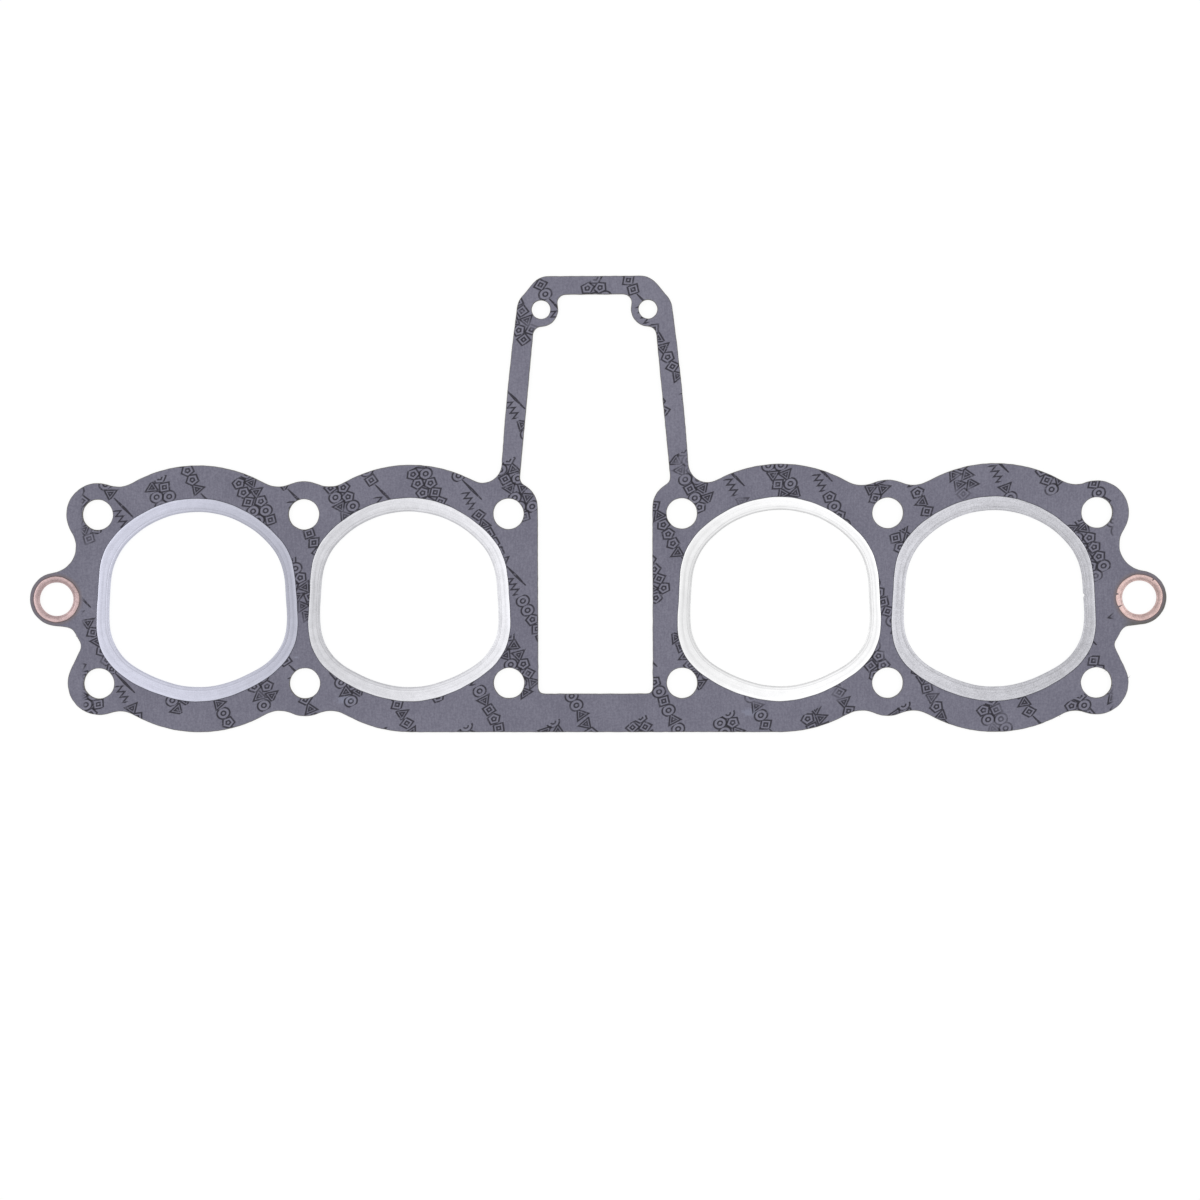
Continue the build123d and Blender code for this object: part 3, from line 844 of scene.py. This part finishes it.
def eyelet_section():
    """Upper half of an eyelet's section, with rows as in ring_section but no flanks; the brightness is
    painted light and shade.
    """
    # The brightness paints a highlight at the hole's edge and round the dome, shade in the groove between,
    # and shadow down the outer edge
    rolled = [(0, 0, 0, 1.0), (0, 0, 0.2, 1.05), (0.06, 0, 0.4, 1.05), (0.18, 0, 0.6, 0.95),
              (0.34, 0, 0.7, 0.9), (0.52, 0, 0.71, 0.74), (0.74, 0, 0.7, 0.7), (0.95, 0, 0.75, 0.8),
              (1.15, 0, 0.8, 0.88)]
    spread = [(-0.9, 1, 0.83, 0.96), (-0.6, 1, 0.85, 1.14), (-0.35, 1, 0.84, 1.1), (-0.17, 1, 0.8, 0.82),
              (-0.05, 1, 0.73, 0.5), (0.05, 1, 0.66, 0.28), (0.1, 1, 0.61, 0.22), (0, 1, SHEET_HALF, 0.3)]
    under = [(0.7, 0, SHEET_HALF, 0.6), (0.42, 0, 0.5, 0.6), (0.28, 0, 0.3, 0.6), (RING_METAL, 0, 0, 0.6)]
    return [row + (0,) for row in rolled + spread + under]


turned = np.linspace(0, 2 * np.pi, EYELET_STEPS, endpoint=False)
for looks in EYELET_LOOKS:
    side, seed = looks["side"], looks["seed"]
    hole = EYELET_HOLE + uneven(turned, *EYELET_HOLE_WAVES, seed)
    edge = EYELET_EDGE + uneven(turned, *EYELET_EDGE_WAVES, seed + 1)
    for angle, depth in looks["splits"]:
        edge -= notch(turned, math.radians(angle), SPLIT_HALF_WIDTH, depth)
    dents = uneven(turned, *EYELET_DENT_WAVES, seed + 2)
    eyelet = strip_piece(f"spread_eyelet_{side}", middle_x(f"oil_eyelet_{side}"), hole, edge,
                         eyelet_section(), looks["lean"], dents)
    set_material(eyelet, strip_material(f"copper_{side}", looks["colour"], rubbed,
                                        COPPER_RUBBING, COPPER_ROUGHNESS))
    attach(eyelet, "root")
    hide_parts(f"oil_eyelet_{side}")


# ------------------------------------------------------------ table and lights
# The gasket lies flat on a white table under even, soft light, and the camera
# hangs a metre above it and leans by a little over two degrees.

CAMERA_TILT = (-1.811, 1.478, -0.143)    # degrees
CAMERA_PLACE = (1.753, -0.62, 1057.1)    # in its own tilted directions
LENS = 85.0
FILM_WIDTH = 36.0
HALF_TABLE = 6.0           # in metres, as the lamps' sizes and places are
TABLE_WHITE = (0.9, 0.9, 0.9, 1)
TABLE_ROUGHNESS = 0.9
TABLE_GLOW = 1.04          # as the camera and mirrors see it
GLOW_SHARE = 0.85          # the rest is the table's own white, with the shadow on it
ROOM_LIGHT = 0.85          # on the object; the camera sees 1
ROOM_MIRRORED = (0.1, 0.95, 0.62, 1.06)             # its light in metal, by the Z of the direction
LAMPS = (("softbox_left", (-1.1, 0.3, 0.9), 3.0),    # places and watts
         ("softbox_right", (1.1, 0.2, 0.9), 2.5))
LAMP_SIZE = 0.9

eye = bpy.data.cameras.new("camera")
eye.lens = LENS
eye.sensor_width = FILM_WIDTH
eye.clip_end = 100.0
camera = add_to_scene("camera", eye)
tilt = Euler([math.radians(angle) for angle in CAMERA_TILT]).to_matrix().to_4x4()
camera.matrix_world = tilt @ Matrix.Translation([c * MM for c in CAMERA_PLACE])
bpy.context.scene.camera = camera


def ray_kinds(tree):
    """1 for a ray from the camera, and 1 for one that a mirror or a glass sends on."""
    rays = tree.nodes.new("ShaderNodeLightPath")
    sent = calc(tree, "MAXIMUM", rays.outputs["Is Glossy Ray"], rays.outputs["Is Transmission Ray"])
    return rays.outputs["Is Camera Ray"], sent


table_mesh = bpy.data.meshes.new("table_top")
table_mesh.from_pydata([(x * HALF_TABLE, y * HALF_TABLE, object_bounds()[0].z)
                        for x, y in ((-1, -1), (1, -1), (1, 1), (-1, 1))], [], [(0, 1, 2, 3)])
table = add_to_scene("table_top", table_mesh)
white = bpy.data.materials.new("white_table")
white.use_nodes = True
tree = white.node_tree
paint = tree.nodes["Principled BSDF"]
paint.inputs["Base Color"].default_value = TABLE_WHITE
paint.inputs["Roughness"].default_value = TABLE_ROUGHNESS
glow = tree.nodes.new("ShaderNodeEmission")
glow.inputs["Strength"].default_value = TABLE_GLOW
mix = tree.nodes.new("ShaderNodeMixShader")
seen, sent = ray_kinds(tree)
feed(tree, mix.inputs[0], calc(tree, "MULTIPLY", calc(tree, "MAXIMUM", seen, sent), GLOW_SHARE))
tree.links.new(paint.outputs[0], mix.inputs[1])
tree.links.new(glow.outputs[0], mix.inputs[2])
tree.links.new(mix.outputs[0], tree.nodes["Material Output"].inputs["Surface"])
set_material(table, white)

# The room is brightest overhead, which is what the flat metal reflects
world = bpy.data.worlds.new("studio")
bpy.context.scene.world = world
world.use_nodes = True
tree = world.node_tree
seen, sent = ray_kinds(tree)
direction = tree.nodes.new("ShaderNodeTexCoord").outputs["Generated"]
overhead = fade(tree, split_place(tree, direction)["Z"], *ROOM_MIRRORED)
level = calc(tree, "ADD", calc(tree, "MULTIPLY", sent, overhead), calc(tree, "SUBTRACT", 1, sent))
level = calc(tree, "MULTIPLY", level, fade(tree, calc(tree, "MAXIMUM", seen, sent), 0, 1, ROOM_LIGHT, 1))
tree.links.new(level, tree.nodes["Background"].inputs["Strength"])
tree.nodes["Background"].inputs["Color"].default_value = (1, 1, 1, 1)

for name, place, power in LAMPS:
    lamp = bpy.data.lights.new(name, "AREA")
    lamp.shape = "SQUARE"
    lamp.size = LAMP_SIZE
    lamp.energy = power
    lamp_object = add_to_scene(name, lamp)
    lamp_object.location = place
    lamp_object.rotation_euler = (-lamp_object.location).to_track_quat("-Z", "Y").to_euler()

bpy.context.scene.view_settings.view_transform = "Standard"
